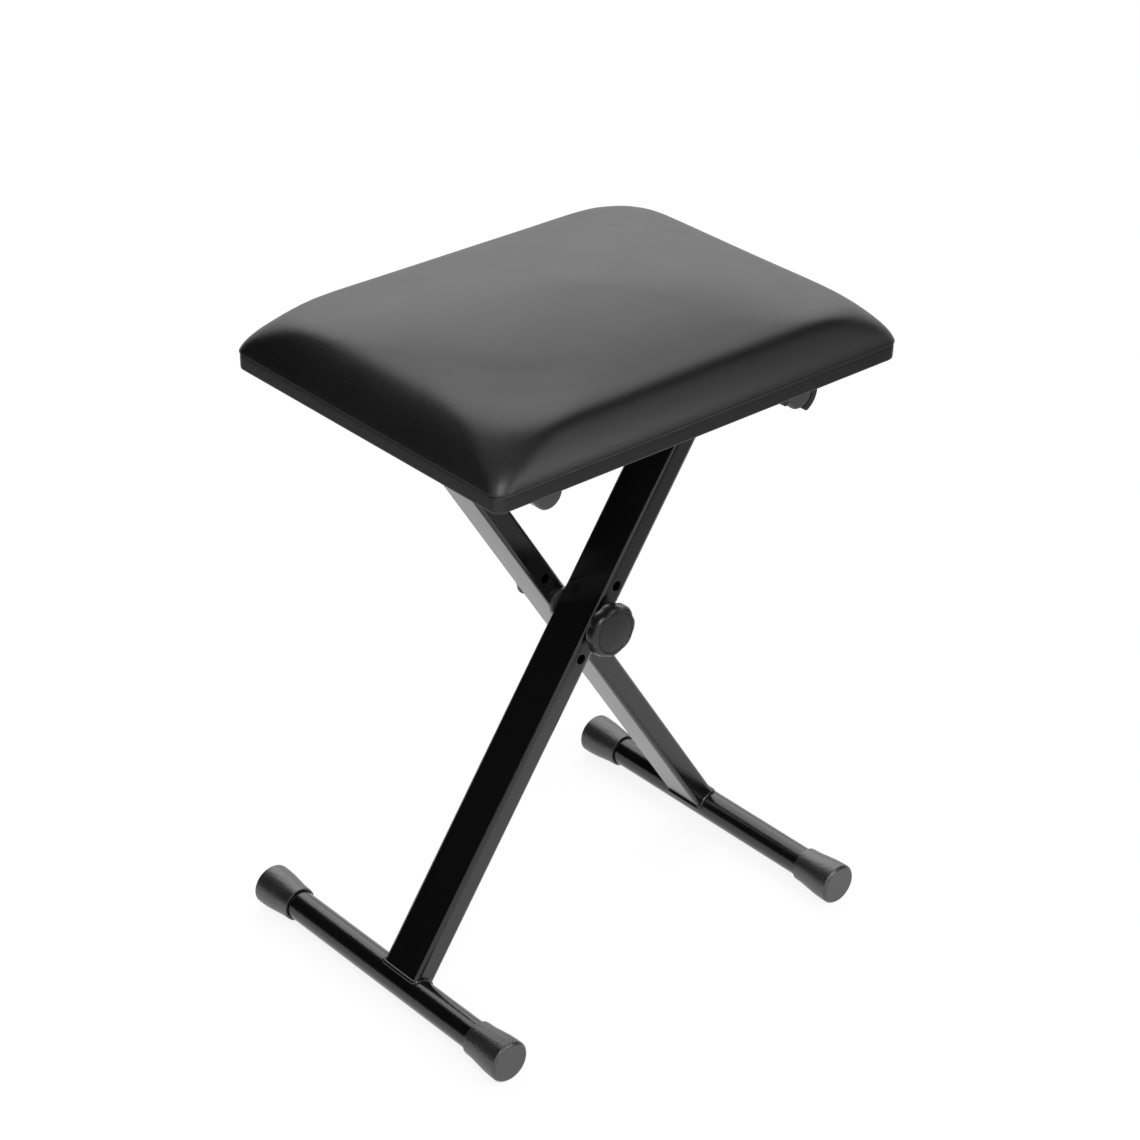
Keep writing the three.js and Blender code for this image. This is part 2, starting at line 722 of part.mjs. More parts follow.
function seatSet() {
  const seat = new THREE.Group();
  seat.position.z = boardBottom;
  seat.add(piece("seat_board", seatBoard(), "plywood"));
  seat.add(piece("seat_foam", seatFoam(), "foam"));
  seat.add(piece("seat_cover", seatCover(), "vinyl"));
  seat.add(piece("seat_lining", underLining(), "lining"));
  const axis = -(barRadius + seatStandoff);
  for (const [end, direction] of [["left", 1], ["right", -1]]) {
    const hingePlace = [crossbarReach, (direction * hingeSpread) / 2, axis];
    const catchPlace = [-crossbarReach, (direction * catchSpread) / 2, axis];
    seat.add(piece(`hinge_bracket_${end}`, hingeBracket(), "plastic", hingePlace));
    seat.add(piece(`catch_bracket_${end}`, catchBracket(), "plastic", catchPlace));
  }
  const screwSeat = -(liningDrop + bracketFoot + fitGap);
  screwPlaces().forEach(([x, y], i) => {
    seat.add(piece(`bracket_screw_${i + 1}`, woodScrew(), "steel", [x, y, screwSeat]));
  });
  return seat;
}

const bench = new THREE.Group();
bench.name = "folding_keyboard_bench";
bench.add(frameSide("front", -1));
bench.add(frameSide("rear", 1));
bench.add(pivotSet());
bench.add(seatSet());

export default bench;
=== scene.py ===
import math

import bpy
import bmesh
from mathutils import Matrix, Vector, noise


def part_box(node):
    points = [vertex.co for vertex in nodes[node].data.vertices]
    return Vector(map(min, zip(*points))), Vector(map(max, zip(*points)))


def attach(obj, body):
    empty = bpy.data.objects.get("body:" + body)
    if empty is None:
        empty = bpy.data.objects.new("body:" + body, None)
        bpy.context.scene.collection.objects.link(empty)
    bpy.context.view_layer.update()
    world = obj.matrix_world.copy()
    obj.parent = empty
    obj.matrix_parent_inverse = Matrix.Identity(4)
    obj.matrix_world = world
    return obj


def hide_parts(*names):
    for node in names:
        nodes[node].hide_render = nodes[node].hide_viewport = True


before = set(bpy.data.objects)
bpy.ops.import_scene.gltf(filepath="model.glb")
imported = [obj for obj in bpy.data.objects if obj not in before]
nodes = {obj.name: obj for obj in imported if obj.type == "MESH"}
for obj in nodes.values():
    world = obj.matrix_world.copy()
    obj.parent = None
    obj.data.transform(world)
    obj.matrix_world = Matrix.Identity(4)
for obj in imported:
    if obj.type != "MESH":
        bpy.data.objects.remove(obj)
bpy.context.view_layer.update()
mm = 0.001
blender = bpy.context


def addPiece(name, mesh):
    piece = bpy.data.objects.new(name, mesh)
    blender.scene.collection.objects.link(piece)
    return piece


def smoothMesh(mesh):
    mesh.polygons.foreach_set("use_smooth", [True] * len(mesh.polygons))
    mesh.update()


class Wiring:
    # short calls that add nodes to a tree and join them
    columnWidth = 190
    rowHeight = 170
    rows = 4

    def __init__(self, tree):
        self.tree = tree
        self.count = 0

    def add(self, kind, settings=None, **inputs):
        node = self.tree.nodes.new(kind)
        node.location = (self.count * self.columnWidth, -(self.count % self.rows) * self.rowHeight)
        self.count += 1
        for key, value in (settings or {}).items():
            setattr(node, key, value)
        for key, value in inputs.items():
            self.feed(node, key.replace("_", " "), value)
        return node

    def feed(self, node, key, value):
        socket = node.inputs[key]
        if isinstance(value, bpy.types.NodeSocket):
            self.tree.links.new(value, socket)
        else:
            socket.default_value = value

    def math(self, operation, first, second=None):
        node = self.add("ShaderNodeMath", {"operation": operation})
        self.feed(node, 0, first)
        if second is not None:
            self.feed(node, 1, second)
        return node.outputs[0]

    def mixed(self, share, first, second):
        node = self.add("ShaderNodeMix", {"data_type": "RGBA"})
        for key, value in ((0, share), (6, first), (7, second)):  # the node's colour sockets
            self.feed(node, key, value)
        return node.outputs[2]

    def ranged(self, value, low, high, toLow, toHigh):
        node = self.add("ShaderNodeMapRange", {"clamp": True})
        for key, item in enumerate((value, low, high, toLow, toHigh)):
            self.feed(node, key, item)
        return node.outputs[0]


def grey(level, blue=0.0):
    return (level, level, level + blue, 1)


# The four corners of a level rectangle about the middle
def rectangle(halfX, halfY, z=0.0):
    return [(-halfX, -halfY, z), (halfX, -halfY, z), (halfX, halfY, z), (-halfX, halfY, z)]


# A material with nothing in it but its output
def emptyMaterial(name):
    material = bpy.data.materials.new(name)
    material.use_nodes = True
    material.node_tree.nodes.clear()
    w = Wiring(material.node_tree)
    return material, w, w.add("ShaderNodeOutputMaterial")


def newGroup(name, inputs, outputs):
    tree = bpy.data.node_groups.new(name, "ShaderNodeTree")
    for label, kind, value in inputs:
        socket = tree.interface.new_socket(label, in_out="INPUT", socket_type=kind)
        socket.default_value = value
    for label, kind in outputs:
        tree.interface.new_socket(label, in_out="OUTPUT", socket_type=kind)
    wiring = Wiring(tree)
    return tree, wiring, wiring.add("NodeGroupInput"), wiring.add("NodeGroupOutput")


# Fine moulded or coated surface: a pebbled height with a slower swell under it
def makePebble():
    number = "NodeSocketFloat"
    tree, w, given, out = newGroup(
        "pebble",
        [("Cells per metre", number, 900.0), ("Swell per metre", number, 60.0), ("Swell share", number, 0.4)],
        [("Height", number)],
    )
    place = w.add("ShaderNodeTexCoord").outputs["Object"]
    cells = w.add("ShaderNodeTexVoronoi", {"feature": "F1"}, Vector=place)
    w.feed(cells, "Scale", given.outputs["Cells per metre"])
    swell = w.add("ShaderNodeTexNoise", Vector=place, Detail=2.0)
    w.feed(swell, "Scale", given.outputs["Swell per metre"])
    both = w.add("ShaderNodeMix", {"data_type": "FLOAT"})
    w.feed(both, 0, given.outputs["Swell share"])
    w.feed(both, 2, cells.outputs["Distance"])
    w.feed(both, 3, swell.outputs[0])
    w.feed(out, "Height", both.outputs[0])
    return tree


# Slow drift of tone over a surface, with finer dusty spots in it
def makeDrift():
    number = "NodeSocketFloat"
    tree, w, given, out = newGroup(
        "drift",
        [
            ("Patches per metre", number, 14.0), ("Specks per metre", number, 500.0),
            ("Speck share", number, 0.3),
        ],
        [("Share", number)],
    )
    place = w.add("ShaderNodeTexCoord").outputs["Object"]
    patches = w.add("ShaderNodeTexNoise", Vector=place, Detail=4.0, Roughness=0.55)
    w.feed(patches, "Scale", given.outputs["Patches per metre"])
    specks = w.add("ShaderNodeTexNoise", Vector=place, Detail=3.0, Roughness=0.7)
    w.feed(specks, "Scale", given.outputs["Specks per metre"])
    both = w.add("ShaderNodeMix", {"data_type": "FLOAT"})
    w.feed(both, 0, given.outputs["Speck share"])
    w.feed(both, 2, patches.outputs[0])
    w.feed(both, 3, specks.outputs[0])
    low, high = 0.3, 0.7  # most of the noise lies between them
    w.feed(out, "Share", w.ranged(both.outputs[0], low, high, 0.0, 1.0))
    return tree


# Lighter edges, partly rubbed wear and partly a painted highlight on the rounded corners: where the rounded
# normal leaves the surface's own, broken up by noise
def makeEdgeRubAndHighlight():
    number = "NodeSocketFloat"
    tree, w, given, out = newGroup(
        "edgeRubAndHighlight",
        [("Reach", number, 0.0012), ("Breaks per metre", number, 120.0)],
        [("Mask", number)],
    )
    rounded = w.add("ShaderNodeBevel", {"samples": 4})
    w.feed(rounded, "Radius", given.outputs["Reach"])
    plain = w.add("ShaderNodeNewGeometry").outputs["Normal"]
    facing = w.add("ShaderNodeVectorMath", {"operation": "DOT_PRODUCT"})
    w.feed(facing, 0, rounded.outputs[0])
    w.feed(facing, 1, plain)
    flat, edge = 0.98, 0.8  # how far the two normals agree where nothing is rubbed and where all is
    turned = w.ranged(facing.outputs["Value"], flat, edge, 0.0, 1.0)
    place = w.add("ShaderNodeTexCoord").outputs["Object"]
    breaks = w.add("ShaderNodeTexNoise", Vector=place, Detail=3.0)
    w.feed(breaks, "Scale", given.outputs["Breaks per metre"])
    low, high, weakest = 0.4, 0.6, 0.35
    w.feed(out, "Mask", w.math("MULTIPLY", turned, w.ranged(breaks.outputs[0], low, high, weakest, 1.0)))
    return tree


pebble = makePebble()
drift = makeDrift()
edgeRubAndHighlight = makeEdgeRubAndHighlight()


def placeGroup(w, tree, **inputs):
    node = w.add("ShaderNodeGroup", {"node_tree": tree})
    for key, value in inputs.items():
        w.feed(node, key.replace("_", " "), value)
    return node.outputs[0]


# A surface that drifts between two tones and two roughnesses, with a pebbled height and edges painted
# lighter, as rubbed wear and as a painted highlight
def makeFinish(name, look):
    material, w, out = emptyMaterial(name)
    shader = w.add("ShaderNodeBsdfPrincipled")
    for key, value in look.get("fixed", {}).items():
        w.feed(shader, key, value)
    tone = placeGroup(
        w, drift,
        Patches_per_metre=look["patches"], Specks_per_metre=look["specks"], Speck_share=look["speckShare"],
    )
    colour = w.mixed(tone, look["dark"], look["light"])
    if "rubAndHighlight" in look:
        mask = placeGroup(w, edgeRubAndHighlight, Reach=look["rubAndHighlightReach"])
        # the lighter edge colour is partly rubbed wear and partly a painted highlight
        colour = w.mixed(w.math("MULTIPLY", mask, look["rubAndHighlightShare"]), colour, look["rubAndHighlight"])
    w.feed(shader, "Base Color", colour)
    w.feed(shader, "Roughness", w.ranged(tone, 0.0, 1.0, *look["roughness"]))
    height = placeGroup(
        w, pebble,
        Cells_per_metre=look["cells"], Swell_per_metre=look["swell"], Swell_share=look["swellShare"],
    )
    bump = w.add("ShaderNodeBump", Height=height, Strength=look["bump"], Distance=look["depth"])
    w.feed(shader, "Normal", bump.outputs[0])
    w.feed(out, "Surface", shader.outputs[0])
    return material


powderCoat = makeFinish("powderCoat", {
    "dark": grey(0.002), "light": grey(0.0035), "roughness": (0.16, 0.24),
    "patches": 9.0, "specks": 700.0, "speckShare": 0.35,
    # a lighter colour on the edges: rubbed wear and a painted highlight on the corners
    "rubAndHighlight": grey(0.03), "rubAndHighlightReach": 0.0012, "rubAndHighlightShare": 0.5,
    "cells": 420.0, "swell": 130.0, "swellShare": 0.6, "bump": 0.22, "depth": 0.0004,
    "fixed": {"IOR": 1.55},
})
vinyl = makeFinish("vinyl", {
    "dark": grey(0.003, 0.0003), "light": grey(0.006, 0.0005), "roughness": (0.39, 0.46),
    "patches": 7.0, "specks": 260.0, "speckShare": 0.25,
    "cells": 1500.0, "swell": 420.0, "swellShare": 0.35, "bump": 0.25, "depth": 0.0004,
    "fixed": {"IOR": 1.46},
})
capRubber = makeFinish("capRubber", {
    "dark": grey(0.006), "light": grey(0.016), "roughness": (0.3, 0.46),
    "patches": 30.0, "specks": 900.0, "speckShare": 0.6,
    "cells": 520.0, "swell": 240.0, "swellShare": 0.4, "bump": 0.4, "depth": 0.0006,
    "fixed": {"IOR": 1.8},
})
plugPlastic = makeFinish("plugPlastic", {
    "dark": grey(0.024), "light": grey(0.036), "roughness": (0.42, 0.52),
    "patches": 40.0, "specks": 900.0, "speckShare": 0.3,
    "cells": 1600.0, "swell": 300.0, "swellShare": 0.3, "bump": 0.2, "depth": 0.0003,
    "fixed": {"IOR": 1.65},
})
knobPlastic = makeFinish("knobPlastic", {
    "dark": grey(0.005), "light": grey(0.009), "roughness": (0.24, 0.33),
    "patches": 50.0, "specks": 1000.0, "speckShare": 0.3,
    "cells": 1800.0, "swell": 300.0, "swellShare": 0.3, "bump": 0.2, "depth": 0.0003,
})
clipPlastic = makeFinish("clipPlastic", {
    "dark": grey(0.01), "light": grey(0.015), "roughness": (0.38, 0.5),
    "patches": 30.0, "specks": 900.0, "speckShare": 0.3,
    "cells": 1500.0, "swell": 200.0, "swellShare": 0.3, "bump": 0.2, "depth": 0.0003,
})
zincSteel = makeFinish("zincSteel", {
    "dark": grey(0.42), "light": grey(0.56, 0.02), "roughness": (0.28, 0.42),
    "patches": 120.0, "specks": 1500.0, "speckShare": 0.4,
    "cells": 2500.0, "swell": 400.0, "swellShare": 0.4, "bump": 0.15, "depth": 0.0002,
    "fixed": {"Metallic": 1.0},
})
liningCloth = makeFinish("liningCloth", {
    "dark": grey(0.012), "light": grey(0.026), "roughness": (0.85, 0.95),
    "patches": 25.0, "specks": 1400.0, "speckShare": 0.6,
    "cells": 700.0, "swell": 90.0, "swellShare": 0.2, "bump": 0.6, "depth": 0.0005,
})


# Thin layers with darker glue lines between them, and grain along the face
def makePlywood(look):
    material, w, out = emptyMaterial("plywood")
    shader = w.add("ShaderNodeBsdfPrincipled", Roughness=look["roughness"])
    place = w.add("ShaderNodeTexCoord").outputs["Object"]
    stretch = w.add("ShaderNodeMapping", Vector=place, Scale=look["stretch"])
    grain = w.add("ShaderNodeTexNoise", Vector=stretch.outputs[0], Detail=8.0, Roughness=0.65)
    w.feed(grain, "Scale", look["grain"])
    split = w.add("ShaderNodeSeparateXYZ", Vector=place)
    layer = w.math("SINE", w.math("MULTIPLY", split.outputs[2], look["layers"]))
    tone = w.mixed(grain.outputs[0], look["dark"], look["light"])
    line = w.ranged(layer, *look["glueRange"], 0.0, look["glueShare"])
    w.feed(shader, "Base Color", w.mixed(line, tone, look["glue"]))
    bump = w.add("ShaderNodeBump", Height=grain.outputs[0], Strength=look["bump"], Distance=look["depth"])
    w.feed(shader, "Normal", bump.outputs[0])
    w.feed(out, "Surface", shader.outputs[0])
    return material


plywood = makePlywood({
    "dark": (0.36, 0.21, 0.1, 1), "light": (0.62, 0.42, 0.24, 1), "glue": (0.2, 0.11, 0.05, 1),
    "roughness": 0.7,
    "stretch": (4, 60, 1), "grain": 6.0,  # the grain runs along X
    "layers": 4200.0,  # radians a metre, so a layer each 1.5 mm
    "glueRange": (0.6, 0.9), "glueShare": 0.5,
    "bump": 0.4, "depth": 0.0003,
})
print("finishes made")


def newTree(name, inputs):
    tree = bpy.data.node_groups.new(name, "GeometryNodeTree")
    tree.interface.new_socket("Geometry", in_out="INPUT", socket_type="NodeSocketGeometry")
    for label, kind, value in inputs:
        socket = tree.interface.new_socket(label, in_out="INPUT", socket_type=kind)
        if value is not None:
            socket.default_value = value
    tree.interface.new_socket("Geometry", in_out="OUTPUT", socket_type="NodeSocketGeometry")
    w = Wiring(tree)
    return tree, w, w.add("NodeGroupInput"), w.add("NodeGroupOutput")


def closeTree(w, geometry, material, out):
    real = w.add("GeometryNodeRealizeInstances", Geometry=geometry)
    painted = w.add("GeometryNodeSetMaterial", Geometry=real.outputs[0], Material=material)
    w.feed(out, "Geometry", painted.outputs[0])


def useTree(piece, tree, **values):
    modifier = piece.modifiers.new(tree.name, "NODES")
    modifier.node_group = tree
    for item in tree.interface.items_tree:
        if item.in_out == "INPUT" and item.name.replace(" ", "_") in values:
            modifier[item.identifier] = values[item.name.replace(" ", "_")]


# The plain mesh that a piece's modifiers give
def settledMesh(piece, name):
    blender.view_layer.update()
    mesh = bpy.data.meshes.new_from_object(piece.evaluated_get(blender.evaluated_depsgraph_get()))
    mesh.name = name
    return mesh


shell = {
    "mergeDistance": 0.02 * mm,
    "sharpFrom": 0.6,  # radians between two faces that meet in a hard edge
    "legSharpFrom": 0.9,
    "knobSharpFrom": 0.75,
    "capRounding": 0.4 * mm,
    "plugRounding": 0.3 * mm,
    "bracketRounding": 0.4 * mm,
    "knobRounding": 0.3 * mm,
    "fineRounding": 0.2 * mm,
    "segments": 2,
    "cornerWeight": 100,
}


# Joins a node's loose triangles and shades its curved faces smooth
def makeShellTree():
    material, angle = "NodeSocketMaterial", "NodeSocketFloat"
    tree, w, given, out = newTree("joinedShell", [
        ("Finish", material, None), ("Sharp from", angle, shell["sharpFrom"]),
    ])
    joined = w.add("GeometryNodeMergeByDistance", Geometry=given.outputs["Geometry"])
    w.feed(joined, "Distance", shell["mergeDistance"])
    bare = w.add("GeometryNodeRemoveAttribute", Geometry=joined.outputs[0], Name="custom_normal")
    faces = w.add("GeometryNodeSetShadeSmooth", {"domain": "FACE"}, Geometry=bare.outputs[0])
    bend = w.add("GeometryNodeInputMeshEdgeAngle").outputs["Unsigned Angle"]
    sharp = w.add("FunctionNodeCompare", {"data_type": "FLOAT", "operation": "GREATER_THAN"})
    w.feed(sharp, 0, bend)
    w.feed(sharp, 1, given.outputs["Sharp from"])
    hard = w.add("GeometryNodeSetShadeSmooth", {"domain": "EDGE"}, Geometry=faces.outputs[0])
    w.feed(hard, "Selection", sharp.outputs[0])
    w.feed(hard, "Shade Smooth", False)
    closeTree(w, hard.outputs[0], given.outputs["Finish"], out)
    return tree


joinedShell = makeShellTree()


def finishNode(name, material, rounding=0.0, sharpFrom=shell["sharpFrom"]):
    node = nodes[name]
    node.data.materials[0] = material
    useTree(node, joinedShell, Finish=material, Sharp_from=sharpFrom)
    if rounding:
        bevel = node.modifiers.new("softEdges", "BEVEL")
        bevel.width = rounding
        bevel.segments = shell["segments"]
        bevel.limit_method = "ANGLE"
        bevel.angle_limit = sharpFrom
        bevel.harden_normals = True


# Flat faces stay flat in the light and the corners between them turn it evenly
def evenCorners(name):
    weighted = nodes[name].modifiers.new("evenCorners", "WEIGHTED_NORMAL")
    weighted.weight = shell["cornerWeight"]
    weighted.keep_sharp = True


for end in ("front", "rear"):
    finishNode(f"{end}_leg_tube", powderCoat, sharpFrom=shell["legSharpFrom"])
    evenCorners(f"{end}_leg_tube")
    finishNode(f"{end}_crossbar", powderCoat)
    finishNode(f"{end}_foot_bar", powderCoat)
    for side in ("left", "right"):
        finishNode(f"{end}_foot_cap_{side}", capRubber, shell["capRounding"])
        finishNode(f"{end}_crossbar_plug_{side}", plugPlastic, shell["plugRounding"])
for side in ("left", "right"):
    finishNode(f"hinge_bracket_{side}", clipPlastic, shell["bracketRounding"])
    finishNode(f"catch_bracket_{side}", clipPlastic, shell["bracketRounding"])
for name in ("pivot_bolt", "bolt_washer", "knob_washer", "knob_insert"):
    finishNode(name, zincSteel, shell["fineRounding"])
finishNode("leg_spacer", plugPlastic, shell["fineRounding"])
finishNode("knob_body", knobPlastic, shell["knobRounding"], shell["knobSharpFrom"])
finishNode("knob_cap", knobPlastic, shell["fineRounding"])
finishNode("seat_board", plywood)
print("frame nodes finished")

cushion = {
    "cellSize": 5.6 * mm,
    "measureSteps": 3000,  # places where the crown's profile is measured to space its cells
    "rim": 13.5 * mm,  # from the board's underside to where the padding starts
    "corner": 8 * mm,
    "cornerDraw": 0.5,  # of its inset, that a ring's corner radius loses
    "leastCorner": 2.5 * mm,
    "mostCorner": 0.96,  # of half a level line's side
    # the crease under the crown, in millimetres over the board's underside: where the corners start
    # to change and where they are done, then the middle of its waver and how far that reaches
    "creaseHigh": 12.95,
    "creaseLow": 11.65,
    "creaseMiddle": 12.0,
    "creaseReach": 1.0,
    "creaseWaver": 0.3 * mm,
    "waversPerMetre": 24,
    "waverLayer": 0.3,  # the layer of the noise that is used
    "unevenness": 0.22 * mm,
    "unevenPerMetre": 13,
    "unevenLayer": 1.7,
    "swell": 1.0 * mm,  # how much the cloth still rises in the simulation
    "fullRise": 54 * mm,  # the crown's height that this is taken from
    "quality": 6,
    "mass": 0.3,
    "pressure": 4.0,
    "stretch": 90,
    "shear": 40,
    "bending": 12,
    "frames": 20,
    "moveCap": 5 * mm,
    "evenRounds": 24,
}
# Distance in from the widest line, and the crown's height over its rim there, in millimetres
crownHeights = [
    (0, 0), (0.7, 3.2), (2.2, 7.4), (5, 13), (10, 21.5), (17, 30.5), (26, 33.5), (38, 36.1),
    (55, 39.9), (80, 45.1), (115, 50.7), (152.5, 53.8),
]
# Distance in, and the corner radius of the level line there
crownCorners = [(0, 12), (4, 19), (10, 33), (20, 58), (40, 87), (60, 92)]
# How far in the same line lies at the seat's ends, where the shoulder is wider
endInsets = [
    (0, 0), (5, 5.8), (10, 12.3), (17, 22.8), (26, 28.8), (38, 37.4), (60, 57), (85, 87),
    (115, 134.5), (152.5, 201.5),
]
# The cover's section from the crown's rim down the band, round the hem and back inside to the foam's floor:
# distance in from the widest line and height over the board's underside, in millimetres
cushionSide = [
    (0.12, 12.95), (0.55, 12.55), (1.3, 12.25), (2.1, 12.05), (2.55, 11.85), (2.3, 11.6), (2.05, 11.2),
    (1.95, 10.2), (1.9, 8.6), (1.9, 6.4), (1.95, 4.2), (2.0, 2.0), (2.0, 0.4), (2.2, -0.6), (2.7, -1.2),
    (3.6, -1.45), (5.4, -1.5), (9.0, -1.5), (14.0, -1.5), (19.0, -1.5), (23.4, -1.5), (23.9, -1.3),
    (24.0, -0.9), (23.9, -0.5), (23.4, -0.32), (14.0, -0.32), (6.0, -0.32), (3.5, -0.3), (3.22, 0.0),
    (3.2, 3.0), (3.2, 8.0), (3.2, 12.0), (3.6, 12.3),
]
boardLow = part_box("seat_board")[0]
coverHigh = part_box("seat_cover")[1]


# A smooth curve through the points that never rises where they don't
def curveThrough(points):
    xs, ys = [p[0] for p in points], [p[1] for p in points]
    rises = [(ys[i + 1] - ys[i]) / (xs[i + 1] - xs[i]) for i in range(len(xs) - 1)]
    slopes = [rises[0]]
    for before, after in zip(rises, rises[1:]):
        slopes.append(0.0 if before * after <= 0 else 2 * before * after / (before + after))
    slopes.append(0.0)

    def at(x):
        x = min(max(x, xs[0]), xs[-1])
        i = max(n for n in range(len(xs) - 1) if xs[n] <= x)
        run = xs[i + 1] - xs[i]
        t = (x - xs[i]) / run
        early = (1 + 2 * t) * (1 - t) ** 2 * ys[i] + t * (1 - t) ** 2 * run * slopes[i]
        return early + t * t * (3 - 2 * t) * ys[i + 1] + t * t * (t - 1) * run * slopes[i + 1]

    return at


heightAt = curveThrough(crownHeights)
cornerAt = curveThrough(crownCorners)
endInsetAt = curveThrough(endInsets)


# Half sizes, corner radius and height of the crown's level line, from 1 at the rim to 0 in the middle
def crownRing(share):
    inset = (1 - share) * coverHigh.y / mm
    sizeX, sizeY = coverHigh.x - endInsetAt(inset) * mm, coverHigh.y - inset * mm
    radius = min(cornerAt(inset) * mm, cushion["mostCorner"] * sizeX, cushion["mostCorner"] * sizeY)
    return sizeX, sizeY, radius, heightAt(inset) * mm


# Grid lines from -1 to 1, evenly spaced along the crown's middle profile
def crownLines(axis):
    steps = cushion["measureSteps"]
    lengths = [0.0]
    before = crownRing(0)
    for i in range(1, steps + 1):
        after = crownRing(i / steps)
        lengths.append(lengths[-1] + math.hypot(after[axis] - before[axis], after[3] - before[3]))
        before = after
    count = round(lengths[-1] / cushion["cellSize"])
    lines, place = [0.0], 0
    for i in range(1, count):
        target = lengths[-1] * i / count
        while lengths[place + 1] < target:
            place += 1
        lines.append((place + (target - lengths[place]) / (lengths[place + 1] - lengths[place])) / steps)
    lines.append(1.0)
    return [-x for x in reversed(lines[1:])] + lines


# The point of the rounded outline for a place (a, b) on the edge of the square from -1 to 1
def outlinePoint(a, b, halfX, halfY, radius):
    across, along = abs(a) * halfX, abs(b) * halfY
    if abs(b) >= abs(a):
        turn = max(0.0, across - (halfX - radius)) / radius * math.pi / 4
        x = across if turn == 0 else halfX - radius + radius * math.sin(turn)
        y = halfY - radius + radius * math.cos(turn)
    else:
        turn = max(0.0, along - (halfY - radius)) / radius * math.pi / 4
        y = along if turn == 0 else halfY - radius + radius * math.sin(turn)
        x = halfX - radius + radius * math.cos(turn)
    return math.copysign(x, a), math.copysign(y, b)


def cushionMesh():
    halfX, halfY, c = coverHigh.x, coverHigh.y, cushion
    linesX, linesY = crownLines(0), crownLines(1)
    mesh = bmesh.new()
    grid = {}
    for i, a in enumerate(linesX):
        for j, b in enumerate(linesY):
            k = max(abs(a), abs(b))
            sizeX, sizeY, radius, height = crownRing(k)
            x, y = outlinePoint(a / k, b / k, sizeX, sizeY, radius) if k > 0 else (0, 0)
            height *= 1 - c["swell"] / c["fullRise"]
            grid[i, j] = mesh.verts.new((x, y, boardLow.z + c["rim"] + height))
    lastX, lastY = len(linesX) - 1, len(linesY) - 1
    for i in range(lastX):
        for j in range(lastY):
            mesh.faces.new((grid[i, j], grid[i + 1, j], grid[i + 1, j + 1], grid[i, j + 1]))
    around = [(i, 0) for i in range(lastX)] + [(lastX, j) for j in range(lastY)]
    around += [(i, lastY) for i in range(lastX, 0, -1)] + [(0, j) for j in range(lastY, 0, -1)]
    ring = [grid[key] for key in around]
    for inset, height in cushionSide:
        inset *= mm
        past = min(1.0, max(0.0, (c["creaseHigh"] - height) / (c["creaseHigh"] - c["creaseLow"])))
        waver = c["creaseWaver"] * max(0.0, 1 - abs(height - c["creaseMiddle"]) / c["creaseReach"])
        bandCorner = max(c["corner"] - inset * c["cornerDraw"], c["leastCorner"])
        radius = bandCorner * past + cornerAt(0) * mm * (1 - past)
        nextRing = []
        for i, j in around:
            x, y = outlinePoint(linesX[i], linesY[j], halfX - inset, halfY - inset, radius)
            shift = noise.noise((x * c["waversPerMetre"], y * c["waversPerMetre"], c["waverLayer"]))
            z = boardLow.z + height * mm + waver * shift
            nextRing.append(mesh.verts.new((x, y, z)))
        for n in range(len(ring)):
            m = (n + 1) % len(ring)
            mesh.faces.new((ring[n], nextRing[n], nextRing[m], ring[m]))
        ring = nextRing
    floorRim = dict(zip(around, ring))
    under = {}
    for i, a in enumerate(linesX):
        for j, b in enumerate(linesY):
            k = max(abs(a), abs(b))
            x, y = outlinePoint(a / k, b / k, halfX - inset, halfY - inset, radius) if k > 0 else (0, 0)
            under[i, j] = floorRim.get((i, j)) or mesh.verts.new((x * k, y * k, boardLow.z + height * mm))
    for i in range(lastX):
        for j in range(lastY):
            mesh.faces.new((under[i, j], under[i, j + 1], under[i + 1, j + 1], under[i + 1, j]))
    bmesh.ops.recalc_face_normals(mesh, faces=mesh.faces)
    made = bpy.data.meshes.new("seatCushion")
    mesh.to_mesh(made)
    mesh.free()
    return made, len(linesX) * len(linesY)


# The simulated steps, shared out between neighbours on the crown, so that no small dent stays
def evenSteps(mesh, steps, crownCount):
    near = [[] for _ in steps]
    for edge in mesh.edges:
        first, second = edge.vertices
        near[first].append(second)
        near[second].append(first)
    for _ in range(cushion["evenRounds"]):
        steps = [
            sum((steps[n] for n in near[i]), step) / (1 + len(near[i])) if i < crownCount else step
            for i, step in enumerate(steps)
        ]
    return steps


